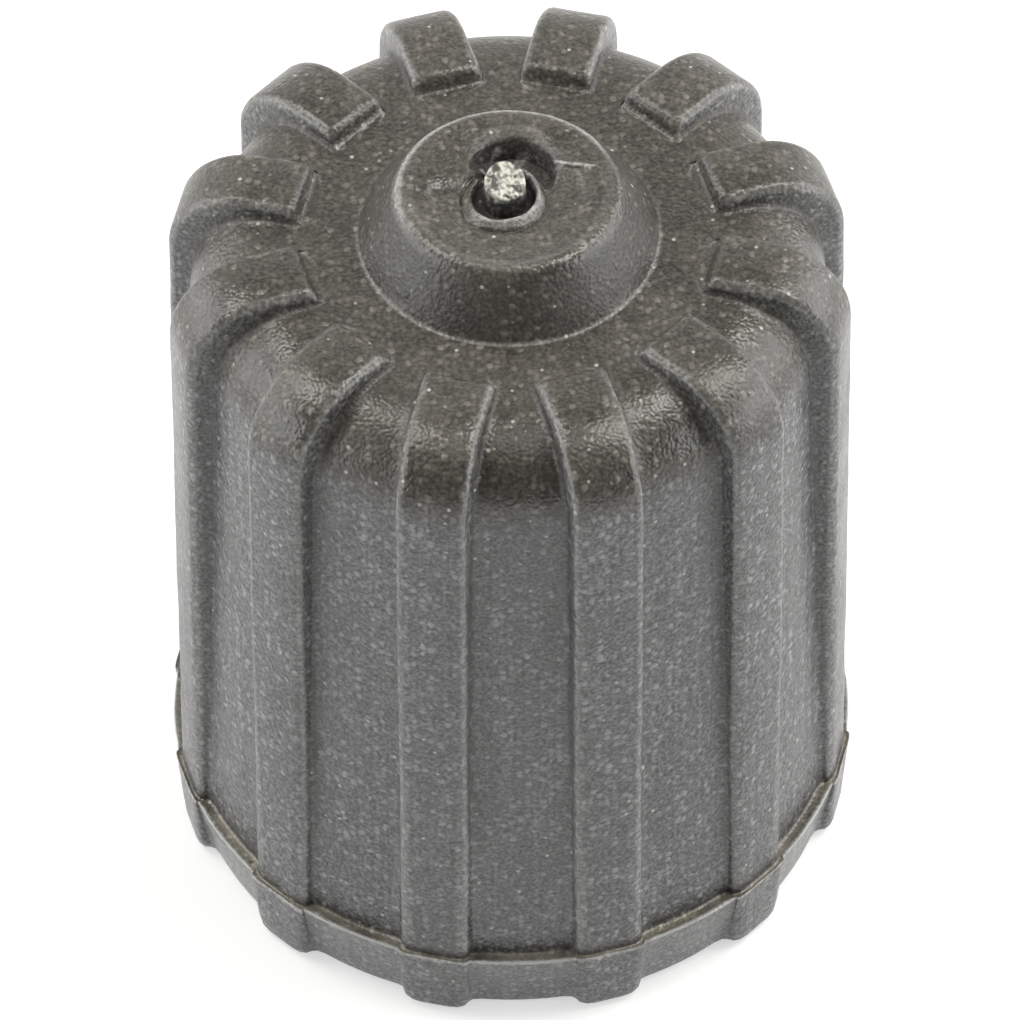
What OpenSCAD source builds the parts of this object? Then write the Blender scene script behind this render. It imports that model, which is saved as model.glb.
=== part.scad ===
/* [Valve thread] */
// Diameter at the root of the thread, for the valve it screws on
thread_root_d = 7.9; // [7.6:0.02:9]
// Depth of the plain mouth below the thread
mouth_depth = 2.8; // [1:0.1:4]
// How much wider the plain mouth is than the thread's root, on each side
mouth_step = 0.35; // [0.1:0.05:0.5]

/* [Body] */
// Height of the flat top above the mouth
body_h = 13.0; // [11:0.1:20]
// Wall between the thread's root and the side, at the shoulder
wall_t = 1.15; // [1:0.05:3]
// Rounding between the side and the flat top
shoulder_r = 1.35; // [0.6:0.05:1.6]
// Slope of the side between the ribs, wider towards the mouth, in degrees
draft_deg = 1.8; // [0.8:0.1:2]
// Thickness of the top over the sealing washer
top_t = 1.6; // [1.2:0.1:3]

/* [Grip ribs] */
// Number of ribs around the cap
rib_count = 12; // [6:1:14]
// Width of a rib
rib_w = 1.15; // [0.8:0.05:1.4]
// Height of a rib at the shoulder
rib_h = 0.4; // [0.2:0.05:0.6]
// Height of a rib on the flat top
rib_top_h = 0.28; // [0.2:0.02:0.5]
// Slope of the ribs on the side, less than the side's, so that they run out towards the mouth
rib_draft_deg = 0.6; // [0.4:0.1:1]
// Length of a rib over the flat top, from the shoulder to its inner end
rib_run = 0.82; // [0.3:0.02:1]
// Rounding along the edges of a rib
rib_edge_r = 0.14; // [0.05:0.01:0.16]
// Rounding where a rib turns down at its inner end
rib_end_round = 0.18; // [0.17:0.01:0.19]

/* [Mouth band] */
// Height of the band round the mouth, below the parting line
band_h = 1.43; // [1:0.01:2]
// Width of the parting line's ledge between the ribs
ledge_w = 0.22; // [0.15:0.01:0.25]
// Width of the ledge on the ribs
rib_ledge_w = 0.08; // [0.06:0.01:0.15]
// Slope of the band between the ribs, narrower towards the mouth, in degrees
band_draft_deg = 12.4; // [6:0.2:14]
// Slope of the ribs on the band, in degrees
rib_band_draft_deg = 4; // [2:0.2:6]
// Rounding of the band at the mouth
band_round = 0.2; // [0.17:0.01:0.3]

/* [Boss] */
// Diameter of the boss where it meets the flat top
boss_d = 4.82; // [4.4:0.02:5.4]
// Height of the boss
boss_h = 1.02; // [0.6:0.02:1.6]
// Diameter of the crest of the boss's rim
rim_d = 3.24; // [3:0.02:3.6]
// Rounding of the boss's rim
rim_round = 0.23; // [0.1:0.01:0.3]
// Depth of the dish in the boss
dish_depth = 0.14; // [0.08:0.01:0.2]

/* [Gate mark] */
// Diameter of the pit at its mouth
pit_d = 1.44; // [1.3:0.02:1.7]
// Diameter of the pit at its floor
pit_floor_d = 1.2; // [1.12:0.02:1.28]
// Depth of the pit below the boss's rim
pit_depth = 0.46; // [0.34:0.02:0.6]
// Pit centre to the right of the axis
pit_x = 0.07; // [0:0.01:0.2]
// Pit centre behind the axis
pit_y = 0.47; // [0.3:0.01:0.6]
// Diameter of the raised collar round the nub
collar_d = 1.2; // [1.14:0.02:1.3]
// Wall of the raised collar
collar_t = 0.18; // [0.1:0.01:0.2]
// Height of the collar above the middle of the dish
collar_h = 0.06; // [0.02:0.01:0.1]
// Diameter of the broken gate nub
nub_d = 0.66; // [0.5:0.02:0.68]
// Height of the nub above the middle of the dish
nub_h = 0.28; // [0.14:0.02:0.4]
// Slope of the broken face of the nub, in degrees
nub_tilt = 8; // [0:1:15]

/* [Sealing washer] */
// How much wider the washer's room is than the thread's root, on each side
room_step = 0.2; // [0.16:0.02:0.3]
// Thickness of the washer
seal_t = 1.4; // [0.8:0.1:2]
// Diameter of the hole in the washer
seal_hole_d = 3.2; // [2:0.1:4.5]
// Rounding of the washer's edges
seal_round = 0.15; // [0.05:0.01:0.25]
// Clearance round the washer in its room
seal_gap = 0.06; // [0.05:0.01:0.1]
// Depth of the room left free below the washer
seal_play = 0.5; // [0.3:0.1:1]

/* [Hidden] */
$fn = 96;

// How far solids that become one are sunk into each other
sink = 0.3;
// Diameters of the side, the plain mouth and the washer's room
body_d = thread_root_d + 2 * wall_t;
mouth_d = thread_root_d + 2 * mouth_step;
seal_room_d = thread_root_d + 2 * room_step;
// Side of the flat top and the shoulder's arc
shoulder_x = body_d / 2 - shoulder_r;
shoulder_z = body_h - shoulder_r;
// Where the sloping side leaves the shoulder's arc
side_x = shoulder_x + shoulder_r * cos(draft_deg);
side_z = shoulder_z + shoulder_r * sin(draft_deg);
// Radius of the side at the parting line, and of the ledge's edge
foot_r = side_x + (side_z - band_h) * tan(draft_deg);
lip_r = foot_r + ledge_w;
// The rib's path: its outer face runs rib_h outside the side and rib_top_h over the top
rib_top_z = body_h + rib_top_h;
rib_bend_x = shoulder_x + rib_h;
rib_bend_z = shoulder_z + rib_top_h;
rib_end_r = rib_bend_x - rib_run;
rib_side_x = rib_bend_x + shoulder_r * cos(rib_draft_deg);
rib_side_z = rib_bend_z + shoulder_r * sin(rib_draft_deg);
rib_foot_r = rib_side_x + (rib_side_z - band_h) * tan(rib_draft_deg);
rib_lip_r = rib_foot_r + rib_ledge_w;
// Depth of the rib's section, from its outer face into the wall
rib_depth = rib_h + sink;
// The boss
boss_top_z = body_h + boss_h;
rim_z = boss_top_z - rim_round;
dish_ball_r = (pow(rim_d / 2, 2) + pow(dish_depth, 2)) / (2 * dish_depth);
dish_floor_z = boss_top_z - dish_depth;
pit_floor_z = boss_top_z - pit_depth;
// The inside, from the mouth to the ceiling
ceiling_z = body_h - top_t;
seal_z = ceiling_z - seal_t;
seal_room_z = seal_z - seal_play;
lead_in = mouth_step;
eps = 0.01;

// Point where a line from p, passing outside a round of radius r at c, touches that round
function touch(p, c, r) =
    let (d = c - p, far = norm(d), turn = atan2(d[1], d[0]) - asin(r / far))
    p + sqrt(far * far - r * r) * [cos(turn), sin(turn)];

// Centre of the mouth's rounding, for a band that slopes in from its ledge's edge at radius lip
function mouth_round_x(lip, slope) =
    lip - band_round * cos(slope) - (band_h - band_round * (1 - sin(slope))) * tan(slope);

// Outline of the body between the ribs, from the axis outwards
module body_outline() {
    round_x = mouth_round_x(lip_r, band_draft_deg);
    polygon([
        [0, 0], [round_x, 0],
        [round_x + band_round * cos(band_draft_deg), band_round * (1 - sin(band_draft_deg))],
        [lip_r, band_h], [foot_r, band_h], [side_x, side_z], [shoulder_x, body_h], [0, body_h]
    ]);
    translate([round_x, band_round]) circle(band_round);
    translate([shoulder_x, shoulder_z]) circle(shoulder_r);
}

// Outline of the boss, a cone with a rounded rim
module boss_outline() {
    edge = touch([boss_d / 2, body_h], [rim_d / 2, rim_z], rim_round);
    polygon([
        [0, body_h - sink], [boss_d / 2, body_h - sink], [boss_d / 2, body_h],
        edge, [rim_d / 2, boss_top_z], [0, boss_top_z]
    ]);
    translate([rim_d / 2, rim_z]) circle(rim_round);
}

// Cross-section of a rib: inner face at x = 0, outer face at x = depth with its edges rounded
module rib_section(w, depth) {
    translate([0, -w / 2]) square([max(depth - rib_edge_r, 0), w]);
    translate([0, rib_edge_r - w / 2]) square([depth, w - 2 * rib_edge_r]);
    for (side = [-1, 1])
        intersection() {
            translate([depth - rib_edge_r, side * (w / 2 - rib_edge_r)]) circle(rib_edge_r);
            translate([0, -w]) square([depth, 2 * w]);
        }
}

// A rib's section swept about a level axis, from angle a to angle b, outer face at radius r
module rib_bend(w, depth, r, a, b) {
    rotate([90, 0, 0])
        rotate([0, 0, a])
            rotate_extrude(angle = b - a)
                translate([r - depth, 0]) rib_section(w, depth);
}

// The lowest stretch of a rib: on the sloping band, with its edge at the mouth rounded
module rib_on_band() {
    round_x = mouth_round_x(rib_lip_r, rib_band_draft_deg);
    translate([round_x, 0, band_round]) {
        rib_bend(rib_w, band_round, band_round, -90, -rib_band_draft_deg);
        rotate([0, rib_band_draft_deg, 0])
            translate([band_round - rib_depth, 0, 0])
                linear_extrude(band_h) rib_section(rib_w, rib_depth);
    }
    translate([round_x + band_round - rib_depth, -rib_w / 2, 0])
        cube([rib_depth - band_round, rib_w, band_h / 2]);
}

// One rib along +X: band, side, shoulder, flat top and rounded inner end
module rib() {
    side_len = (rib_side_z - band_h + sink) / cos(rib_draft_deg);
    intersection() {
        rib_on_band();
        cylinder(h = band_h, r = rib_lip_r + sink);
    }
    // Up the sloping side, from inside the band to the shoulder
    translate([rib_side_x, 0, rib_side_z])
        rotate([0, -rib_draft_deg, 0])
            translate([-rib_depth, 0, -side_len])
                linear_extrude(side_len) rib_section(rib_w, rib_depth);
    // Round the shoulder
    translate([rib_bend_x, 0, rib_bend_z])
        rib_bend(rib_w, rib_depth, shoulder_r, rib_draft_deg, 90);
    // Over the flat top
    translate([rib_bend_x, 0, rib_top_z - rib_depth])
        rotate([0, -90, 0])
            linear_extrude(rib_bend_x - rib_end_r - rib_end_round)
                rib_section(rib_w, rib_depth);
    // Down at the inner end
    translate([rib_end_r + rib_end_round, 0, rib_top_z - rib_end_round])
        rib_bend(rib_w, rib_end_round, rib_end_round, 90, 180);
    translate([rib_end_r + rib_end_round, 0, body_h - sink])
        rotate([0, 0, 180])
            linear_extrude(rib_top_h - rib_end_round + sink)
                rib_section(rib_w, rib_end_round);
}

// Gate pit with the raised collar and the broken nub in it
module gate_pit() {
    translate([pit_x, pit_y, pit_floor_z])
        cylinder(h = pit_depth, d1 = pit_floor_d, d2 = pit_d);
}

module gate_nub() {
    ring_r = (collar_d - collar_t) / 2;
    collar_z = dish_floor_z + collar_h - collar_t / 2;
    rotate_extrude() {
        translate([ring_r - collar_t / 2, pit_floor_z - sink])
            square([collar_t, collar_z - pit_floor_z + sink]);
        translate([ring_r, collar_z]) circle(collar_t / 2);
    }
    difference() {
        translate([0, 0, pit_floor_z - sink])
            cylinder(h = dish_floor_z + nub_h + sink - pit_floor_z + sink, d = nub_d);
        translate([0, 0, dish_floor_z + nub_h])
            rotate([nub_tilt, 0, 0])
                translate([-nub_d, -nub_d, 0]) cube([2 * nub_d, 2 * nub_d, 4 * sink]);
    }
}

// Space inside: plain mouth, bore at the thread's root and room for the washer
module inside() {
    translate([0, 0, -eps]) cylinder(h = mouth_depth + eps, d = mouth_d);
    translate([0, 0, mouth_depth - eps])
        cylinder(h = lead_in + eps, d1 = mouth_d + 2 * eps, d2 = thread_root_d);
    cylinder(h = seal_room_z + eps, d = thread_root_d);
    translate([0, 0, seal_room_z]) cylinder(h = ceiling_z - seal_room_z, d = seal_room_d);
}

module cap_body() {
    color("#5f5e5c") {
        difference() {
            union() {
                rotate_extrude() body_outline();
                rotate_extrude() boss_outline();
                for (i = [0 : rib_count - 1])
                    rotate([0, 0, (i + 0.5) * 360 / rib_count]) rib();
            }
            inside();
            translate([0, 0, dish_floor_z + dish_ball_r]) sphere(dish_ball_r);
            gate_pit();
        }
        gate_nub();
    }
}

module sealing_washer() {
    w = (seal_room_d - seal_hole_d) / 2 - seal_gap;
    color("#262626")
        rotate_extrude() translate([seal_hole_d / 2, seal_z]) {
            translate([seal_round, 0]) square([w - 2 * seal_round, seal_t]);
            translate([0, seal_round]) square([w, seal_t - 2 * seal_round]);
            for (x = [seal_round, w - seal_round])
                for (z = [seal_round, seal_t - seal_round])
                    translate([x, z]) circle(seal_round);
        }
}

cap_body();
sealing_washer();
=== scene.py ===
import math

import bmesh
import bpy
from mathutils import Matrix, Vector, noise


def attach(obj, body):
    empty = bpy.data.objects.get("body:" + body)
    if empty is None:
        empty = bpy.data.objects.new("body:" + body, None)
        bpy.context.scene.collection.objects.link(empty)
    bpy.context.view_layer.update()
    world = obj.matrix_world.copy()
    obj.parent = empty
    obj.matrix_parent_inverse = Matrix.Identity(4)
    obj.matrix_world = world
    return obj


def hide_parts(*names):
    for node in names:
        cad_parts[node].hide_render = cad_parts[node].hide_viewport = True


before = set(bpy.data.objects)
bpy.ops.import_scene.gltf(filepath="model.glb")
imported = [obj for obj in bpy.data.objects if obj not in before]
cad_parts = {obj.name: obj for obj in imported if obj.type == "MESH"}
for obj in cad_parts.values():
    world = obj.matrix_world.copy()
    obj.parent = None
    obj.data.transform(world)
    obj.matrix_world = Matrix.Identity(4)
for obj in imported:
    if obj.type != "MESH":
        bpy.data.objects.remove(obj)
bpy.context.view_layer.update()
MM = 0.001
for leftover in ("Cube", "Light", "Camera"):
    if leftover in bpy.data.objects:
        bpy.data.objects.remove(bpy.data.objects[leftover])


# The camera looks down on the cap from the front, through a long lens. Its place comes
# from the outline and the inner edges of the cap in the photograph.
CAMERA_AIM = (0.0, 0.0, 6.5)
CAMERA_FAR = 171.06
CAMERA_ELEVATION = 48.95
CAMERA_AZIMUTH = -1.65
CAMERA_ROLL = -0.34
CAMERA_SLIDE = (-0.0009, -0.1461)
SENSOR = 36.0
LENS = SENSOR * 10441.0 / 1020.0

turn = (
    Matrix.Rotation(math.radians(CAMERA_AZIMUTH), 4, "Z")
    @ Matrix.Rotation(math.radians(90 - CAMERA_ELEVATION), 4, "X")
    @ Matrix.Rotation(math.radians(CAMERA_ROLL), 4, "Z")
)
bpy.ops.object.camera_add()
camera = bpy.context.object
camera.name = "camera"
camera.data.sensor_width = SENSOR
camera.data.lens = LENS
camera.data.clip_start = 10 * MM
camera.rotation_euler = turn.to_euler()
camera.location = (Vector(CAMERA_AIM) + turn @ Vector((*CAMERA_SLIDE, CAMERA_FAR))) * MM
bpy.context.scene.camera = camera


# The light is a studio's: three soft warm panels above the cap, pale cards behind it and
# at its sides, and a weak even light from all round. The floor is a plain white sheet,
# a hair below the mouth, and it looks brighter to the camera than the light it gives.
ROOM_LIGHT = 0.08
ROOM_AIR = (0.96, 0.98, 1.0, 1)
PANEL_WARM = (1.0, 0.97, 0.91)
BACK_WARM = (1.0, 0.98, 0.95)
CARD_COOL = (0.98, 0.99, 1.0)
FLOOR_R = 2
FLOOR_DROP = 0.02
FLOOR_GREY = (0.55, 0.55, 0.55, 1)
FLOOR_GLOW = 0.55


def soft_panel(name, place, width, height, power, colour):
    """An area light at a place, turned towards the cap."""
    bpy.ops.object.light_add(type="AREA", location=place)
    panel = bpy.context.object
    panel.name = name
    panel.data.shape = "RECTANGLE"
    panel.data.size = width
    panel.data.size_y = height
    panel.data.energy = power
    panel.data.color = colour
    panel.rotation_euler = Vector(place).to_track_quat("Z", "Y").to_euler()


soft_panel("overhead_panel", (0, -0.035, 0.24), 0.16, 0.16, 0.08, PANEL_WARM)
soft_panel("high_left_panel", (-0.12, 0.04, 0.21), 0.09, 0.12, 0.24, PANEL_WARM)
soft_panel("high_right_panel", (0.12, 0.02, 0.21), 0.09, 0.12, 0.31, PANEL_WARM)
soft_panel("back_card", (0, 0.32, 0.16), 0.6, 0.32, 0.5, BACK_WARM)
soft_panel("left_card", (-0.25, 0.02, 0.07), 0.4, 0.2, 0.78, CARD_COOL)
soft_panel("right_card", (0.25, 0.02, 0.07), 0.4, 0.2, 0.86, CARD_COOL)

room = bpy.data.worlds.new("room")
bpy.context.scene.world = room
room.use_nodes = True
air = room.node_tree.nodes
air["Background"].inputs["Color"].default_value = ROOM_AIR
air["Background"].inputs["Strength"].default_value = ROOM_LIGHT

under_mouth = (0, 0, -FLOOR_DROP * MM)
bpy.ops.mesh.primitive_circle_add(vertices=64, radius=FLOOR_R, fill_type="NGON", location=under_mouth)
floor = bpy.context.object
floor.name = "floor"
sheet = bpy.data.materials.new("white_sheet")
sheet.use_nodes = True
paper = sheet.node_tree.nodes["Principled BSDF"]
paper.inputs["Base Color"].default_value = FLOOR_GREY
paper.inputs["Roughness"].default_value = 0.9
paper.inputs["Specular IOR Level"].default_value = 0.0
paper.inputs["Emission Color"].default_value = (1, 1, 1, 1)
path = sheet.node_tree.nodes.new("ShaderNodeLightPath")
seen = path.outputs["Is Camera Ray"]
for ray in ("Is Glossy Ray", "Is Transmission Ray"):
    either = sheet.node_tree.nodes.new("ShaderNodeMath")
    either.operation = "MAXIMUM"
    sheet.node_tree.links.new(seen, either.inputs[0])
    sheet.node_tree.links.new(path.outputs[ray], either.inputs[1])
    seen = either.outputs[0]
glow = sheet.node_tree.nodes.new("ShaderNodeMath")
glow.operation = "MULTIPLY"
glow.inputs[1].default_value = FLOOR_GLOW
sheet.node_tree.links.new(seen, glow.inputs[0])
sheet.node_tree.links.new(glow.outputs[0], paper.inputs["Emission Strength"])
floor.data.materials.append(sheet)

bpy.context.scene.view_settings.view_transform = "Standard"


# The cap body is one moulding of dark grey filled plastic. Its outline is turned round
# the axis, from the broken gate nub on the boss, over the shoulder, the parting line's
# ledge and the mouth, and up the threaded bore to the ceiling inside. Lengths are in mm.
RIBS = 12
RIB_HALF = 7
VALLEY_HALF = 3
COLUMNS = 2 * (RIB_HALF + VALLEY_HALF)
TURN_STEPS = RIBS * COLUMNS

BODY_H = 13.0
SIDE_R = 5.1
SHOULDER_R = 1.35
SIDE_DRAFT = 1.8
BAND_H = 1.43
LEDGE_W = 0.22
BAND_DRAFT = 12.4
BAND_ROUND = 0.2
SHOULDER_STEPS = 18
SIDE_STEPS = 44

RIB_W = 1.15
RIB_H = 0.4
RIB_TOP_H = 0.28
RIB_DRAFT = 0.6
RIB_END = 3.33
RIB_END_ROUND = 0.18
RIB_END_ROWS = 7
RIB_LEDGE_W = 0.08
RIB_BAND_DRAFT = 4.0
EDGE_ROUND = 0.15
ROOT_ROUND = 0.09
SOFT_EDGE = 0.27
SOFT_ROOT = 0.2
MOUTH_SOFT = 0.35

BOSS_R = 2.41
BOSS_H = 1.02
RIM_R = 1.62
RIM_ROUND = 0.23
DISH_DEPTH = 0.14
FIELD_R = 1.5
FIELD_STEPS = 26

GATE_PLACE = (-0.1, -0.02)
NUB_PLACE = (0.045, 0.065)
NUB_R = 0.33
NUB_TOP = 0.29
NUB_TILT = 0.3
GROOVE_DEPTH = 0.2
CREST_R = 0.605
CREST_ROUND = 0.06
COLLAR_OUT = 0.8
COLLAR_TOP = 0.08
COLLAR_LOSS = 0.1
COLLAR_GAP_ANGLE = 2.9
SUNK_CREST_ANGLE = 2.2
PIT_PLACE = (0.08, 0.48)
PIT_R = 0.7
PIT_DEPTH = 0.34

MOUTH_R = 4.3
MOUTH_DEPTH = 2.8
THREAD_R = 3.95
THREAD_PITCH = 0.794
THREAD_DEPTH = 0.45
THREAD_STEPS = 119
ROOM_R = 4.15
ROOM_Z = 9.5
CEILING_Z = 11.4


def straight(p, q, steps):
    """Points from p up to, but not at, q."""
    shares = [i / steps for i in range(steps)]
    return [(p[0] + (q[0] - p[0]) * k, p[1] + (q[1] - p[1]) * k) for k in shares]


def round_arc(x, z, r, start, end, steps):
    """Points on an arc, both ends included, angles in degrees."""
    angles = [math.radians(start + (end - start) * i / steps) for i in range(steps + 1)]
    return [(x + r * math.cos(a), z + r * math.sin(a)) for a in angles]


def smooth(low, high, value):
    """0 below low, 1 above high, with a soft change between."""
    k = min(max((value - low) / (high - low), 0), 1)
    return k * k * (3 - 2 * k)


def skin(arc_x, arc_z, draft, ledge_w, band_draft):
    """Points down the outside, from the shoulder to the mouth, and the way each faces."""
    slope = math.radians(draft)
    lean = math.radians(band_draft)
    side = (arc_x + SHOULDER_R * math.cos(slope), arc_z + SHOULDER_R * math.sin(slope))
    foot = side[0] + (side[1] - BAND_H) * math.tan(slope)
    lip = foot + ledge_w
    round_low = BAND_ROUND * (1 - math.sin(lean))
    round_x = lip - BAND_ROUND * math.cos(lean) - (BAND_H - round_low) * math.tan(lean)
    shoulder = round_arc(arc_x, arc_z, SHOULDER_R, 90, draft, SHOULDER_STEPS)
    lower = straight(side, (foot, BAND_H), SIDE_STEPS)[1:]
    ledge = ((0, 0.08), (0, 0.03), (0.06, 0.008), (0.25, 0), (0.68, 0.004))
    flash = ((0.83, 0.018), (0.94, 0.02), (1.01, -0.004))
    lower += [(foot + ledge_w * share, BAND_H + up) for share, up in ledge + flash]
    band_low = (round_x + BAND_ROUND * math.cos(lean), round_low)
    lower += [(lip - 0.035 * math.tan(lean), BAND_H - 0.035)]
    lower += straight((lip - 0.06 * math.tan(lean), BAND_H - 0.06), band_low, 7)
    lower += round_arc(round_x, BAND_ROUND, BAND_ROUND, -band_draft, -90, 6)
    ways = round_arc(0, 0, 1, 90, draft, SHOULDER_STEPS) + [(1, 0)] * len(lower)
    return shoulder + lower, ways


dish_floor = BODY_H + BOSS_H - DISH_DEPTH
gate = straight((0, NUB_TOP), (NUB_R - 0.03, NUB_TOP), 9)
gate += [(NUB_R - 0.03, NUB_TOP), (NUB_R - 0.01, NUB_TOP - 0.01)]
nub_side_row = len(gate)
gate += straight((NUB_R, NUB_TOP - 0.035), (NUB_R + 0.02, -GROOVE_DEPTH), 7)
gate += [(NUB_R + 0.025, -GROOVE_DEPTH), (CREST_R - CREST_ROUND - 0.04, -GROOVE_DEPTH)]
collar_row = len(gate)
crest_low = COLLAR_TOP - CREST_ROUND
crest_in = CREST_R - CREST_ROUND
gate += straight((crest_in - 0.02, 0.03 - GROOVE_DEPTH), (crest_in, crest_low), 4)
crest_row = len(gate)
gate += round_arc(CREST_R, crest_low, CREST_ROUND, 180, 35, 7)
gate += [(CREST_R + 0.1, 0.04), (CREST_R + 0.16, 0.014)]
gate += [(COLLAR_OUT - 0.03, 0.0), (COLLAR_OUT, 0.0)]
pit_row = len(gate)
gate += straight((0.0, 1.0), (0.75, 1.0), 4) + straight((0.8, 0.96), (1.0, 0.14), 6)
gate += [(1.0, 0.14), (1.035, 0.075), (1.08, 0.035), (1.13, 0.012)]
field_row = len(gate)
gate += straight((0.07, 0), (1, 0), FIELD_STEPS)
gate_end = len(gate)
outline = [(r, dish_floor + h) for r, h in gate[:pit_row]]
outline += [(COLLAR_OUT + 0.02 * (i + 1), dish_floor) for i in range(gate_end - pit_row)]

boss_top = BODY_H + BOSS_H
rim = (RIM_R, boss_top - RIM_ROUND)
reach = math.dist((BOSS_R, BODY_H), rim)
lean = math.atan2(rim[1] - BODY_H, rim[0] - BOSS_R) - math.asin(RIM_ROUND / reach)
outline += [(FIELD_R + 0.04, boss_top - 0.018), (FIELD_R + 0.08, boss_top - 0.006)]
rim_row = len(outline)
outline += round_arc(*rim, RIM_ROUND, 90, math.degrees(lean) - 90, 8)
outline += straight(outline[-1], (BOSS_R - 0.03, BODY_H + 0.05), 9)[1:]
boss_foot_row = len(outline)
outline += [(BOSS_R - 0.03, BODY_H + 0.05), (BOSS_R - 0.01, BODY_H + 0.018)]
outline += [(BOSS_R + 0.02, BODY_H + 0.003)]
outline += straight((BOSS_R + 0.06, BODY_H), (RIB_END - 0.13, BODY_H), 8)

shoulder_x = SIDE_R - SHOULDER_R
shoulder_z = BODY_H - SHOULDER_R
rib_row = len(outline)
rib_top = BODY_H + RIB_TOP_H
rib_x = shoulder_x + RIB_H
round_x = RIB_END + RIB_END_ROUND
end_run = straight((RIB_END - ROOT_ROUND, BODY_H), (shoulder_x, BODY_H), RIB_END_ROWS + 4)
end_crown = [(RIB_END - ROOT_ROUND, BODY_H), (RIB_END - 0.3 * ROOT_ROUND, BODY_H + 0.3 * ROOT_ROUND)]
end_crown += round_arc(round_x, rib_top - RIB_END_ROUND, RIB_END_ROUND, 180, 90, RIB_END_ROWS - 3)
end_crown += straight((round_x + 0.1, rib_top), (rib_x, rib_top), 4)
side_skin, facing = skin(shoulder_x, shoulder_z, SIDE_DRAFT, LEDGE_W, BAND_DRAFT)
rib_skin, _ = skin(rib_x, shoulder_z + RIB_TOP_H, RIB_DRAFT, RIB_LEDGE_W, RIB_BAND_DRAFT)
crown = end_crown + rib_skin
facing = [(0, 1)] * len(end_crown) + facing
outline += end_run + side_skin
mouth_row = len(outline)
ledge_row = next(i for i, (r, z) in enumerate(outline) if r > 5 and z < BAND_H + 0.09)

band_end = outline[-1][0]
outline += straight((band_end - 0.06, 0), (MOUTH_R + 0.1, 0), 5)
outline += [(MOUTH_R + 0.1, 0), (MOUTH_R + 0.03, 0.03), (MOUTH_R, 0.1)]
outline += straight((MOUTH_R, 0.4), (MOUTH_R, MOUTH_DEPTH), 6)
outline += [(MOUTH_R, MOUTH_DEPTH)]
thread_start = MOUTH_DEPTH + MOUTH_R - THREAD_R
thread_row = len(outline)
outline += straight((THREAD_R, thread_start), (THREAD_R, ROOM_Z), THREAD_STEPS)
room_row = len(outline)
outline += [(THREAD_R, ROOM_Z), (ROOM_R, ROOM_Z)]
outline += straight((ROOM_R, ROOM_Z + 0.1), (ROOM_R, CEILING_Z - 0.1), 5)
outline += round_arc(ROOM_R - 0.1, CEILING_Z - 0.1, 0.1, 0, 90, 3)
outline += straight((ROOM_R - 0.3, CEILING_Z), (0.0, CEILING_Z), 9) + [(0.0, CEILING_Z)]


def turned_piece(name, points, steps, closed):
    """Spin an outline of (radius, height) points into a mesh that is left in edit mode."""
    bpy.ops.object.select_all(action="DESELECT")
    bpy.ops.mesh.primitive_plane_add(size=MM)
    piece = bpy.context.object
    piece.name = name
    bpy.ops.object.mode_set(mode="EDIT")
    bpy.ops.mesh.merge(type="CENTER")
    bpy.ops.mesh.select_all(action="SELECT")
    bpy.ops.transform.translate(value=Vector((points[0][0], 0, points[0][1])) * MM)
    for (r0, z0), (r1, z1) in zip(points, points[1:]):
        move = {"value": (r1 * MM - r0 * MM, 0, z1 * MM - z0 * MM)}
        bpy.ops.mesh.extrude_vertices_move(TRANSFORM_OT_translate=move)
    net = bmesh.from_edit_mesh(piece.data)
    row_of = net.verts.layers.int.new("row")
    net.verts.ensure_lookup_table()
    for i, v in enumerate(net.verts):
        v[row_of] = i
        v.co = Vector((points[i][0], 0, points[i][1])) * MM
    if closed:
        net.edges.new((net.verts[0], net.verts[-1]))
    bmesh.update_edit_mesh(piece.data)
    bpy.ops.mesh.select_all(action="SELECT")
    bpy.ops.mesh.spin(steps=steps, angle=2 * math.pi, center=(0, 0, 0), axis=(0, 0, 1))
    bpy.ops.mesh.select_all(action="SELECT")
    bpy.ops.mesh.remove_doubles(threshold=1e-8)
    bpy.ops.mesh.normals_make_consistent(inside=False)
    return piece


cap = turned_piece("cap", outline, TURN_STEPS, closed=False)


# The gate mark is where the plastic entered: a torn nub in a groove, a collar round it
# and an off-centre pit behind. The dish's skin is folded round it and scratched behind the
# pit, and a painted highlight runs along the fold.
def collar_loss(angle):
    """1 at the left of the nub, where the collar is missing."""
    return smooth(0.5, 0.95, math.cos(angle - COLLAR_GAP_ANGLE))


def at_back(angle):
    """0 in front of the gate mark, 1 behind it."""
    return smooth(-0.2, 1.2, math.sin(angle) - 0.25 * math.cos(angle))


def collar_out(angle):
    """Radius of the collar's outer foot: wide in front, cut back beside the pit."""
    out = COLLAR_OUT - 0.11 * smooth(-0.8, 0.5, math.sin(angle + 0.2))
    return out * (1 - COLLAR_LOSS * collar_loss(angle))


def pit_edge(angle):
    """Radius of the pit's edge from the gate's centre, and at least just outside the collar."""
    x = PIT_PLACE[0] - GATE_PLACE[0]
    y = PIT_PLACE[1] - GATE_PLACE[1]
    along = x * math.cos(angle) + y * math.sin(angle)
    away = along + math.sqrt(PIT_R**2 - x * x - y * y + along**2)
    least = collar_out(angle) + 0.05
    return (away + least + math.hypot(away - least, 0.05)) / 2


def behind_crease(x, y):
    """How far a place lies behind the crease that runs from the pit to the right of the dish."""
    return y - 0.46 - 0.33 * math.exp((0.63 - x) / 0.25)


def crease_run(x):
    """1 along the crease, 0 past its ends."""
    return smooth(0.5, 0.65, x) * (1 - smooth(1.3, 1.6, x))


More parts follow.
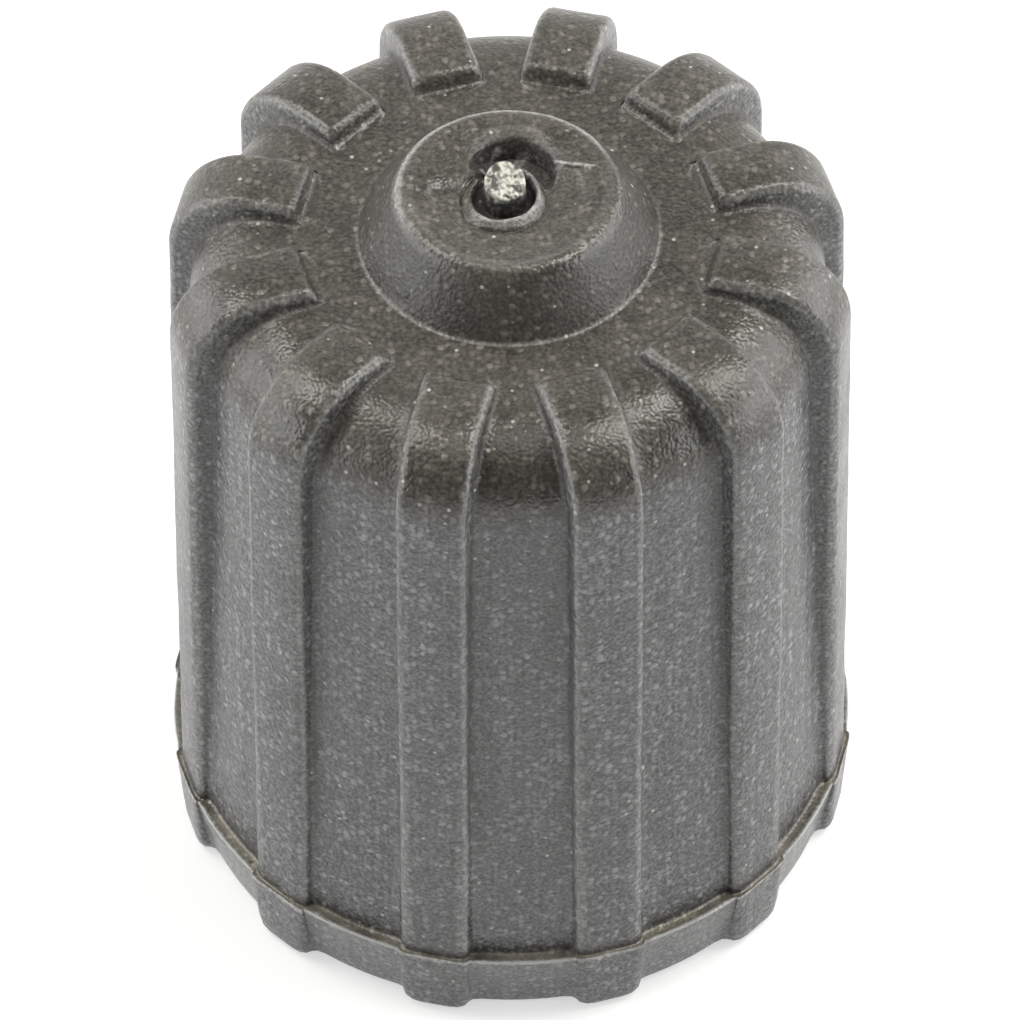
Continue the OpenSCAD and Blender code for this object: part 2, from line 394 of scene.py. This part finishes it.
def dish_height(x, y):
    """Height of the dish's skin over its floor: a bowl, a sunk front lid, a fold behind."""
    bowl = (x * x + y * y) * DISH_DEPTH / RIM_R**2
    lid = ((x + 0.02) / 1.27) ** 2 + ((y - 0.1) / 1.0) ** 2
    sunk = 0.045 * (1 - smooth(0.86, 1.0, lid)) * (1 - smooth(0.1, 0.5, y))
    fold = 0
    if x > 0.4:
        behind = behind_crease(x, y)
        fold = 0.065 * smooth(-0.09, 0.03, behind) * math.exp(-max(behind, 0) / 0.4)
        fold *= smooth(0.45, 0.7, x) * (1 - smooth(1.1, 1.5, x))
    elif x < -0.5:
        fold = 0.02 * smooth(-0.1, 0.05, y - 0.12 - 0.3 * (x + 1.3))
    grain = 0.014 * noise.noise((x * 3.1, y * 3.1, 4.0)) + 0.009 * noise.noise((x * 9, y * 9, 1.0))
    return bowl - sunk + fold + grain


def gate_vertex(row, angle):
    """Where a vertex of the gate mark's rings goes, in millimetres."""
    r, h = gate[row]
    c = math.cos(angle)
    s = math.sin(angle)
    edge = pit_edge(angle)
    inner = collar_out(angle) + 0.005
    in_pit = smooth(0.05, 0.5, edge - inner)
    back = at_back(angle)
    kept = 1 - COLLAR_LOSS * collar_loss(angle)
    x, y = GATE_PLACE
    if row < collar_row:
        rough = noise.noise((c * 2.2, s * 2.2, r * 9))
        r *= 1 + 0.08 * noise.noise((c * 1.3, s * 1.3, h * 5 + 7))
        torn = smooth(-GROOVE_DEPTH, NUB_TOP, h)
        fibres = 0.05 * noise.noise((r * c * 8, r * s * 8, 0.3)) + 0.015 * rough
        h += torn * (NUB_TILT * r * s + fibres)
        return x + NUB_PLACE[0] + r * c, y + NUB_PLACE[1] + r * s, dish_floor + h
    if row < pit_row:
        sunk = smooth(0.35, 0.9, math.cos(angle - SUNK_CREST_ANGLE)) * smooth(0.0, 0.4, in_pit)
        drop = 0.22 * sunk + 0.08 * collar_loss(angle) + 0.02 * noise.noise((c * 2.5, s * 2.5, 3))
        h -= drop * smooth(-GROOVE_DEPTH, COLLAR_TOP, h)
        outside = smooth(CREST_R, COLLAR_OUT, r)
        if r > CREST_R:
            r = CREST_R + (r - CREST_R) * (inner / kept - CREST_R) / (COLLAR_OUT - CREST_R)
        r *= kept
        r += 0.03 * noise.noise((c * 1.6, s * 1.6, 8)) * (1 - outside)
        h += outside * (dish_height(x + r * c, y + r * s) * (1 - in_pit) - 0.12 * in_pit)
        return x + r * c, y + r * s, dish_floor + h
    if row < field_row:
        gentle = 1 - collar_loss(angle) * (1 - smooth(0.0, 0.7, r))
        if r <= 1:
            r = inner + (edge - inner) * r
        else:
            r = edge * (1 + (r - 1) * (0.5 + 0.9 * back))
        if h > 0.1:
            r += 0.02 * back * noise.noise((c * 3, s * 3, h * 2))
        lip = dish_height(x + r * c, y + r * s)
        rough = 0.03 * back * noise.noise((r * c * 6, r * s * 6, 5)) * smooth(0.1, 0.6, h)
        deep = 0.003 + (PIT_DEPTH + lip) * in_pit * gentle
        return x + r * c, y + r * s, dish_floor + lip - deep * h + rough
    start = edge * (1 + 0.14 * (0.5 + 0.9 * back))
    out = start + (FIELD_R - start) * r
    x = x * (1 - r) + out * c
    y = y * (1 - r) + out * s
    return x, y, dish_floor + dish_height(x, y)


# Twelve grip ribs stand up from the side, turn over the shoulder and end on the flat top.
# They are part of the moulding: each section has rounded edges and a filleted root, and
# both grow softer down the side, where the rib runs out.
def rib_section(row, column):
    """Across the rib, out and up of one of its columns, in millimetres."""
    r, z = outline[row]
    out, up = crown[row - rib_row]
    nx, nz = facing[row - rib_row]
    height = (out - r) * nx + (up - z) * nz
    soft = 1 - smooth(1.5, 7.5, z)
    edge = EDGE_ROUND + (SOFT_EDGE - EDGE_ROUND) * soft
    root = ROOT_ROUND + (SOFT_ROOT - ROOT_ROUND) * soft
    near_mouth = min(max(1 - z / MOUTH_SOFT, 0), 1)
    half = RIB_W / 2 - 0.16 * (1 - math.sqrt(1 - near_mouth**2))
    low = min(root, height * 0.35)
    deep = min(edge, height - low)
    step = abs(column)
    if step <= 4:
        turn_by = math.pi / 2 * (4 - max(step, 1)) / 3
        across = half - edge * (1 - math.cos(turn_by)) if step else 0
        sunk = deep * (1 - math.sin(turn_by))
        return math.copysign(across, column), out - nx * sunk, up - nz * sunk
    across, lift = {5: (half, low), 6: (half + 0.3 * root, 0.3 * low), 7: (half + root, 0)}[step]
    ahead = math.sqrt(max(r * r - across * across, 0)) + nx * lift
    return math.copysign(across, column), ahead, z + nz * lift


def rib_lines(row):
    """How far the columns run alongside the ribs, instead of towards the axis."""
    r = outline[row][0]
    if row < rib_row:
        return smooth(2.5, 3.2, r)
    return smooth(MOUTH_R + 0.1, band_end - 0.06, r) if row < thread_row else 0


def thread_lift(angle, z):
    """Height of the thread's ridge over the bore, run out at both ends of the bore."""
    turns = (z - thread_start) / THREAD_PITCH - angle / (2 * math.pi)
    off = abs(turns - round(turns))
    ridge = min(max((0.41 - off) / 0.33, 0), 1)
    ends = smooth(thread_start + 0.1, thread_start + 0.7, z)
    ends *= 1 - smooth(ROOM_Z - 0.7, ROOM_Z - 0.2, z)
    return THREAD_DEPTH * ridge * ends


def on_skin(row):
    """Whether a row lies on the stretch of the outside that carries the ribs."""
    return rib_row <= row < mouth_row


def beside_rib(row, column):
    """Angle of a column from the middle of its rib."""
    r = outline[row][0]
    edge = rib_section(row, RIB_HALF)[0] if on_skin(row) else RIB_W / 2 + ROOT_ROUND
    if abs(column) <= RIB_HALF:
        beside = math.asin(edge * column / RIB_HALF / r)
    else:
        share = (abs(column) - RIB_HALF) / VALLEY_HALF
        root = math.asin(edge / r)
        beside = math.copysign(root + (math.pi / RIBS - root) * share, column)
    if on_skin(row):
        return beside
    even = 2 * math.pi * column / TURN_STEPS
    return even + (beside - even) * rib_lines(row)


# Dirt mixed with painted shade lies in the roots, over the ledge, in the gate's groove and
# pit and on the boss's slope. Edges, rims, the collar and the crease are pale from wear and
# painted highlights, and the band is painted lighter as if lit from the floor. How much of each
# a vertex has is kept in the mesh, ring by ring, for the plastic's colours.
COLLAR_PAINTED_HIGHLIGHT = (0.2, 0.5, 0.8, 1.0, 1.0, 0.8, 0.55, 0.3, 0.0, 0.0)
RIM_PAINTED_REFLECTION = (0.4, 0.7, 0.8, 0.8, 0.6, 0.3)
ROOT_DIRT_AND_SHADE = {5: 0.25, 6: 0.65, 7: 0.15}
EDGE_WEAR_AND_HIGHLIGHT = {2: 0.15, 3: 0.45, 4: 0.1}
LEDGE_DIRT_AND_SHADE = (0.8, 0.45, 0.1, 0.0)
SILT_AND_LIGHT_ON_LEDGE = (0.1, 0.4, 0.9, 1.0, 0.9, 0.3)
LIP_PALE_LINE = (0.0, 1.1, 1.8, 1.8, 1.5, 0.1)
LIP_ROW = 4
BAND_PAINTED_LIGHT = 0.12
RIB_PALE_SHARE = 0.6
LUMP_HEIGHT = 0.012
NICK_DEPTH = 0.011

net = bmesh.from_edit_mesh(cap.data)
for kind in ("grime_and_shade", "silt_and_light", "wear_and_light", "torn", "off_crease"):
    net.verts.layers.float.new(kind)
row_of = net.verts.layers.int["row"]
grime_and_shade_of = net.verts.layers.float["grime_and_shade"]
silt_and_light_of = net.verts.layers.float["silt_and_light"]
wear_and_light_of = net.verts.layers.float["wear_and_light"]
torn_of = net.verts.layers.float["torn"]
off_crease = net.verts.layers.float["off_crease"]


def mark_gate(v, row, angle, x, y):
    """Dirt with painted shade in the gate mark's groove and pit, a painted highlight on its collar,
    scratches behind the pit, torn plastic on its nub, and a painted highlight along the crease across the
    dish.
    """
    back = at_back(angle)
    gone = max(smooth(0.35, 0.8, math.cos(angle - SUNK_CREST_ANGLE)), collar_loss(angle))
    v[torn_of] = 1 - smooth(nub_side_row - 1, nub_side_row + 2, row)
    if nub_side_row < row < collar_row + 3:
        # The groove round the nub: dirt with painted shade.
        v[grime_and_shade_of] = smooth(nub_side_row, nub_side_row + 3, row)
    elif crest_row <= row < pit_row - 2:
        # The collar's crest: a painted highlight, brighter to one side; where the collar sinks, painted
        # shade.
        v[wear_and_light_of] = COLLAR_PAINTED_HIGHLIGHT[row - crest_row] * (1 - gone) * (0.45 + 0.5 * math.cos(angle + 1.0))
        v[grime_and_shade_of] = gone * (1 - collar_loss(angle))
    elif pit_row - 2 <= row < field_row - 4:
        scratch = noise.noise((math.cos(angle) * 5, math.sin(angle) * 5, row * 0.22))
        # The pit: dirt with painted shade, strongest where it is deep.
        v[grime_and_shade_of] = 0.15 + 0.85 * smooth(0.1, 0.4, pit_edge(angle) - collar_out(angle))
        v[wear_and_light_of] = 0.5 * back * smooth(0.28, 0.4, scratch)
    elif row < field_row + 8:
        # Behind the pit: a little silt lightened as painted light, and painted shade at the pit's back
        # rim.
        v[silt_and_light_of] = 0.15 * back * (1 - smooth(field_row, field_row + 8, row))
        v[grime_and_shade_of] = 0.7 * back * (1 - smooth(field_row - 4, field_row + 1, row))
    # Along the crease: a painted highlight on the fold's edge.
    if row >= field_row - 4 and x > 0.4 and abs(behind_crease(x, y)) < 0.16:
        v[wear_and_light_of] = 0.8 * crease_run(x)
        v[off_crease] = behind_crease(x, y)


def mark_boss(v, row, angle):
    """Painted highlights round the boss's rim and foot, and painted shade on its slope."""
    behind = math.sin(angle)
    # Front of the rim: a faint pale and warm painted highlight.
    if rim_row - 3 <= row <= rim_row + 2:
        v[wear_and_light_of] = 0.1 * (1 - smooth(-0.3, 0.6, behind))
        v[silt_and_light_of] = 0.1
    # Back of the rim: a thin painted reflection of the backdrop on the rounding.
    elif rim_row + 2 < row < rim_row + 9:
        v[wear_and_light_of] = RIM_PAINTED_REFLECTION[row - rim_row - 3] * smooth(-0.3, 0.5, math.sin(angle - 0.35))
    # The boss's slope: painted shade.
    elif rim_row + 9 <= row < boss_foot_row:
        v[grime_and_shade_of] = 0.55
    # Front of the foot: a thin painted highlight in the fillet.
    elif boss_foot_row < row < boss_foot_row + 3:
        v[wear_and_light_of] = 0.25 * (1 - smooth(-0.4, 0.4, behind))


def mark_side(v, row, column, z):
    """Dirt with painted shade beside the ribs and over the ledge, silt with painted light on the ledge,
    wear with painted highlights on the edges, a pale line on the lip and painted light on the band.
    """
    over = row - ledge_row
    if over < 0:
        # Higher up the side, the roots beside each rib are darkened with dirt and painted shade.
        in_root = smooth(2.5, 6.0, z) * ROOT_DIRT_AND_SHADE.get(abs(column), 0)
        # The wall's lowest 0.3 mm over the ledge, and the ledge's inner rows, are darkened with dirt and
        # painted shade.
        v[grime_and_shade_of] = max(0.75 * (1 - smooth(0.0, 0.32, z - BAND_H)), in_root)
        # The rib's edges: wear with a painted highlight.
        v[wear_and_light_of] = EDGE_WEAR_AND_HIGHLIGHT.get(abs(column), 0)
        return
    v[grime_and_shade_of] = LEDGE_DIRT_AND_SHADE[over] if over < len(LEDGE_DIRT_AND_SHADE) else 0
    # The ledge's silt, lightened as painted light against the wall's shade.
    v[silt_and_light_of] = SILT_AND_LIGHT_ON_LEDGE[over] if over < len(SILT_AND_LIGHT_ON_LEDGE) else 0
    # The lip: a pale line, painted bright against the wall's shade; the band below: painted light from the
    # floor.
    if LIP_ROW <= over < LIP_ROW + len(LIP_PALE_LINE):
        v[wear_and_light_of] = LIP_PALE_LINE[over - LIP_ROW]
    elif over > LIP_ROW:
        v[wear_and_light_of] = BAND_PAINTED_LIGHT
    if abs(column) < RIB_HALF:
        v[wear_and_light_of] *= RIB_PALE_SHARE


for v in net.verts:
    row = v[row_of]
    r, z = outline[row]
    if not r:
        if row == 0:
            v.co = Vector(gate_vertex(0, 0)) * MM
            v[torn_of] = 1
        continue
    place = math.atan2(v.co.y, v.co.x) / (2 * math.pi) * TURN_STEPS
    step = round(place) % TURN_STEPS
    angle = step * 2 * math.pi / TURN_STEPS
    column = step % COLUMNS - COLUMNS // 2
    middle = math.radians(360 / RIBS * (step // COLUMNS + 0.5))
    if row < gate_end:
        x, y, up = gate_vertex(row, angle)
        v.co = Vector((x, y, up)) * MM
        mark_gate(v, row, angle, x, y)
        continue
    if thread_row <= row < room_row:
        r -= thread_lift(angle, z)
        v.co = Vector((r * math.cos(angle), r * math.sin(angle), z)) * MM
        continue
    mark_boss(v, row, angle)
    if on_skin(row) and abs(column) <= RIB_HALF:
        across, ahead, up = rib_section(row, column)
        v.co = Matrix.Rotation(middle, 3, "Z") @ Vector((ahead, across, up)) * MM
    elif on_skin(row) or rib_lines(row):
        turned = middle + beside_rib(row, column)
        v.co = Vector((r * math.cos(turned), r * math.sin(turned), z)) * MM
    if on_skin(row):
        mark_side(v, row, column, z)

net.normal_update()
for v in net.verts:
    row = v[row_of]
    if gate_end <= row < mouth_row - 6:
        p = v.co / MM
        lump = noise.noise(p * 0.9) + 0.5 * noise.noise(p * 2.6)
        v.co += v.normal * LUMP_HEIGHT * MM * lump
        if ledge_row + LIP_ROW <= row < ledge_row + LIP_ROW + 4:
            nick = noise.noise(p * 1.7 + Vector((9, 0, 0))) + 0.6 * noise.noise(p * 5)
            v.co += Vector((p.x, p.y, 0)).normalized() * NICK_DEPTH * MM * nick
bmesh.update_edit_mesh(cap.data)
bpy.ops.object.mode_set(mode="OBJECT")
bpy.ops.object.shade_smooth_by_angle(angle=math.radians(50))


# The plastic is matt and slightly gritty from its filler. Its sides are painted lighter and
# cooler than the faces that look up, as painted light and shade. The parting line's ledge is
# brown with dirt and painted shade, with silt lightened as painted light; edges are pale from
# wear and painted highlights, and the torn nub is pale.
def node(tree, kind, inputs=None, **settings):
    """Add a node, with its settings and its inputs linked or set."""
    made = tree.nodes.new(kind)
    for name, value in settings.items():
        setattr(made, name, value)
    for socket, value in (inputs or {}).items():
        if isinstance(value, bpy.types.NodeSocket):
            tree.links.new(value, made.inputs[socket])
        else:
            made.inputs[socket].default_value = value
    return made


def maths(tree, operation, a, b=0.0):
    """One sum on two values."""
    return node(tree, "ShaderNodeMath", {0: a, 1: b}, operation=operation).outputs[0]


def blend(tree, factor, a, b):
    """From colour a to colour b."""
    return node(tree, "ShaderNodeMix", {0: factor, 6: a, 7: b}, data_type="RGBA").outputs[2]


def scaled(tree, vector, by):
    """A colour or a place, times one value."""
    return node(tree, "ShaderNodeVectorMath", {0: vector, "Scale": by}, operation="SCALE").outputs[0]


def between(tree, value, low, high, start=0.0, end=1.0):
    """Carry a value from low..high to start..end with soft ends."""
    inputs = {"Value": value, "From Min": low, "From Max": high, "To Min": start, "To Max": end}
    return node(tree, "ShaderNodeMapRange", inputs, interpolation_type="SMOOTHSTEP").outputs[0]


def grain_group():
    """Grit of a filled moulding: fine height, broad mottling, and masks for flecks and pores."""
    group = bpy.data.node_groups.new("moulded_grain", "ShaderNodeTree")
    group.interface.new_socket("Vector", in_out="INPUT", socket_type="NodeSocketVector")
    group.interface.new_socket("Size", in_out="INPUT", socket_type="NodeSocketFloat")
    for name in ("Height", "Mottle", "Fleck", "Pore"):
        group.interface.new_socket(name, in_out="OUTPUT", socket_type="NodeSocketFloat")
    given = node(group, "NodeGroupInput")
    put = node(group, "NodeGroupOutput")
    per_size = maths(group, "DIVIDE", 1.0, given.outputs["Size"])
    at = scaled(group, given.outputs["Vector"], per_size)
    grains = node(group, "ShaderNodeTexVoronoi", {"Vector": at, "Scale": 1.0})
    grain_kind = node(group, "ShaderNodeSeparateColor", {0: grains.outputs["Color"]}).outputs[0]
    dot = between(group, grains.outputs["Distance"], 0.0, 0.62, 1.0, 0.0)
    rare = maths(group, "POWER", grain_kind, 2.5)
    proud = maths(group, "MULTIPLY", dot, maths(group, "SUBTRACT", rare, 0.14))
    fine = node(group, "ShaderNodeTexNoise", {"Vector": at, "Scale": 2.3, "Detail": 0.0})
    fine_height = maths(group, "ADD", maths(group, "MULTIPLY", fine.outputs[0], 0.5), 0.23)
    height = maths(group, "ADD", proud, fine_height)
    group.links.new(height, put.inputs["Height"])
    broad = node(group, "ShaderNodeTexNoise", {"Vector": at, "Scale": 0.14, "Detail": 2.0})
    group.links.new(broad.outputs[0], put.inputs["Mottle"])
    cells = node(group, "ShaderNodeTexVoronoi", {"Vector": at, "Scale": 0.58})
    kind = node(group, "ShaderNodeSeparateColor", {0: cells.outputs["Color"]})
    strong = between(group, kind.outputs[1], 0.0, 1.0, 0.2, 1.0)
    marks = (("Fleck", 0.19, "GREATER_THAN", 0.7), ("Pore", 0.24, "LESS_THAN", 0.1))
    for name, width, pick, share in marks:
        spot = between(group, cells.outputs["Distance"], width * 0.45, width, 1.0, 0.0)
        some = maths(group, "MULTIPLY", maths(group, pick, kind.outputs[0], share), strong)
        group.links.new(maths(group, "MULTIPLY", spot, some), put.inputs[name])
    return group


PER_MM = (1 / MM, 1 / MM, 1 / MM)
GRAIN_SIZE = 0.128
GRAIN_BUMP = 0.02
PLASTIC_IOR = 1.62
LIT_SIDE_GREY = (0.088, 0.088, 0.0895, 1)
SHADED_TOP_OLIVE = (0.063, 0.0585, 0.048, 1)
# Near black of dirt and painted shade, also used in the pores and the torn nub's holes.
DARK_DIRT_AND_SHADE = (0.018, 0.016, 0.013, 1)
LIT_LEDGE_SILT = (0.240, 0.222, 0.182, 1)
# Pale of wear, and of painted highlights and painted light.
PALE_WEAR_AND_LIGHT = (0.42, 0.425, 0.41, 1)
FLECK_WHITE = (0.52, 0.52, 0.50, 1)
TORN_PALE = (0.58, 0.58, 0.51, 1)
TORN_GREY = (0.22, 0.22, 0.20, 1)


def cap_plastic(grain):
    """Lit grey sides and a shaded olive top, painted light on one plastic, and the marks kept in the mesh
    laid over both.
    """
    material = bpy.data.materials.new("cap_plastic")
    material.use_nodes = True
    tree = material.node_tree
    shader = tree.nodes["Principled BSDF"]
    spot = node(tree, "ShaderNodeTexCoord")
    place = node(tree, "ShaderNodeMapping", {"Vector": spot.outputs["Object"], "Scale": PER_MM})
    grit = node(tree, "ShaderNodeGroup", {"Vector": place.outputs[0], "Size": GRAIN_SIZE}, node_tree=grain)
    height = grit.outputs["Height"]
    mottle = grit.outputs["Mottle"]
    kinds = ("grime_and_shade", "silt_and_light", "wear_and_light", "torn", "off_crease")
    marks = [node(tree, "ShaderNodeAttribute", attribute_name=kind).outputs["Fac"] for kind in kinds]
    grime_and_shade, silt_and_light, wear_and_light, torn, crease_off = marks
    near_crease = between(tree, maths(tree, "ABSOLUTE", crease_off), 0.005, 0.035, 1.0, 0.0)
    wear_and_light = maths(tree, "MULTIPLY", wear_and_light, near_crease)
    way = node(tree, "ShaderNodeSeparateXYZ", {0: spot.outputs["Normal"]})
    # Faces that look up take the darker, warmer olive and the sides the lighter grey: painted shade and
    # painted light by facing.
    painted_top_shade = between(tree, way.outputs["Z"], 0.02, 0.5)
    # Drawing out of the mould has left fine lines down the sides
    drawn = node(tree, "ShaderNodeMapping", {"Vector": place.outputs[0], "Scale": (1.0, 1.0, 0.04)})
    lines = node(tree, "ShaderNodeTexNoise", {"Vector": drawn.outputs[0], "Scale": 7.0, "Detail": 1.0})
    line_tone = between(tree, lines.outputs[0], 0.3, 0.7, 0.88, 1.12)
    grit_tone = between(tree, height, 0.25, 0.85, 0.2, 2.6)
    top_tone = between(tree, height, 0.2, 0.95, 0.4, 2.05)
    side = scaled(tree, LIT_SIDE_GREY[:3], grit_tone)
    top = scaled(tree, SHADED_TOP_OLIVE[:3], top_tone)
    colour = blend(tree, painted_top_shade, side, top)
    mottle_tone = between(tree, mottle, 0.3, 0.7, 0.86, 1.14)
    toned = scaled(tree, colour, maths(tree, "MULTIPLY", line_tone, mottle_tone))
    uneven = between(tree, mottle, 0.38, 0.58, 0.4, 1.0)
    gritty = between(tree, height, 0.42, 0.62)
    # Silt's olive, lightened as painted light where it lies in shade.
    silt_tone = between(tree, height, 0.2, 0.95, 0.65, 1.5)
    lit_silt = scaled(tree, LIT_LEDGE_SILT[:3], silt_tone)
    colour = blend(tree, maths(tree, "MULTIPLY", silt_and_light, uneven), toned, lit_silt)
    # This dark mark is dirt mixed with painted shade in corners, recesses, the pit and on the boss's
    # slope.
    dark = maths(tree, "MULTIPLY", grime_and_shade, between(tree, height, 0.38, 0.6, 1.0, 0.62))
    colour = blend(tree, dark, colour, DARK_DIRT_AND_SHADE)
    # Pale marks: wear, painted highlights on edges, rims, collar and crease, and painted light on the
    # band.
    pale_wear_and_light = maths(tree, "MULTIPLY", wear_and_light, maths(tree, "ADD", maths(tree, "MULTIPLY", gritty, 0.45), 0.5))
    colour = blend(tree, pale_wear_and_light, colour, PALE_WEAR_AND_LIGHT)
    holes = node(tree, "ShaderNodeTexNoise", {"Vector": place.outputs[0], "Scale": 6.5, "Detail": 0.0})
    fibres = node(tree, "ShaderNodeTexNoise", {"Vector": place.outputs[0], "Scale": 15.0, "Detail": 0.0})
    snapped = blend(tree, between(tree, fibres.outputs[0], 0.38, 0.62), TORN_GREY, TORN_PALE)
    snapped = blend(tree, between(tree, holes.outputs[0], 0.34, 0.42, 0.9, 0.0), snapped, DARK_DIRT_AND_SHADE)
    colour = blend(tree, torn, colour, snapped)
    colour = blend(tree, maths(tree, "MULTIPLY", grit.outputs["Fleck"], 0.8), colour, FLECK_WHITE)
    colour = blend(tree, maths(tree, "MULTIPLY", grit.outputs["Pore"], 0.8), colour, DARK_DIRT_AND_SHADE)
    tree.links.new(colour, shader.inputs["Base Color"])
    dull = maths(tree, "MULTIPLY", grime_and_shade, 0.3)
    rough = maths(tree, "ADD", between(tree, mottle, 0.3, 0.7, 0.27, 0.38), dull)
    tree.links.new(rough, shader.inputs["Roughness"])
    shader.inputs["IOR"].default_value = PLASTIC_IOR
    bump_inputs = {"Strength": 1.0, "Distance": GRAIN_BUMP * MM, "Height": height}
    tree.links.new(node(tree, "ShaderNodeBump", bump_inputs).outputs[0], shader.inputs["Normal"])
    return material


grain = grain_group()
cap.data.materials.append(cap_plastic(grain))

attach(cap, "root")
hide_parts("cap_body")


# The sealing washer is a turned or punched ring of black rubber, pushed into its room
# above the thread. The valve's rim has pressed a shallow ring into its lower face.
SEAL_IN = 1.6
SEAL_OUT = 4.09
SEAL_Z = 10.0
SEAL_T = 1.4
SEAL_ROUND = 0.15
PRESS_R = 2.55
PRESS_DEPTH = 0.05

pressed = ((-0.35, 0), (-0.2, 0.8), (0, 1), (0.2, 0.8), (0.35, 0))
low_face = [(PRESS_R + x, SEAL_Z + up * PRESS_DEPTH) for x, up in pressed]
ring = round_arc(SEAL_IN + SEAL_ROUND, SEAL_Z + SEAL_ROUND, SEAL_ROUND, 180, 270, 5)
ring += low_face
ring += round_arc(SEAL_OUT - SEAL_ROUND, SEAL_Z + SEAL_ROUND, SEAL_ROUND, 270, 360, 5)
ring += round_arc(SEAL_OUT - SEAL_ROUND, SEAL_Z + SEAL_T - SEAL_ROUND, SEAL_ROUND, 0, 90, 5)
ring += round_arc(SEAL_IN + SEAL_ROUND, SEAL_Z + SEAL_T - SEAL_ROUND, SEAL_ROUND, 90, 180, 5)
washer = turned_piece("sealing_ring", ring, 144, closed=True)
bpy.ops.object.mode_set(mode="OBJECT")
bpy.ops.object.shade_smooth_by_angle(angle=math.radians(40))

SEAL_GRAIN = 0.09
SEAL_BUMP = 0.01
SEAL_BLACK = (0.022, 0.022, 0.023, 1)
SEAL_DUST = (0.06, 0.058, 0.052, 1)


def seal_rubber(grain):
    """Soft black rubber with a dull bloom and a little dust."""
    material = bpy.data.materials.new("seal_rubber")
    material.use_nodes = True
    tree = material.node_tree
    shader = tree.nodes["Principled BSDF"]
    spot = node(tree, "ShaderNodeTexCoord")
    place = node(tree, "ShaderNodeMapping", {"Vector": spot.outputs["Object"], "Scale": PER_MM})
    grit = node(tree, "ShaderNodeGroup", {"Vector": place.outputs[0], "Size": SEAL_GRAIN}, node_tree=grain)
    bloom = between(tree, grit.outputs["Mottle"], 0.4, 0.7)
    colour = blend(tree, bloom, SEAL_BLACK, SEAL_DUST)
    tree.links.new(colour, shader.inputs["Base Color"])
    rough = between(tree, grit.outputs["Height"], 0.3, 0.7, 0.5, 0.68)
    tree.links.new(rough, shader.inputs["Roughness"])
    bump_inputs = {"Strength": 0.6, "Distance": SEAL_BUMP * MM, "Height": grit.outputs["Height"]}
    tree.links.new(node(tree, "ShaderNodeBump", bump_inputs).outputs[0], shader.inputs["Normal"])
    return material


washer.data.materials.append(seal_rubber(grain))

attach(washer, "root")
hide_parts("sealing_washer")
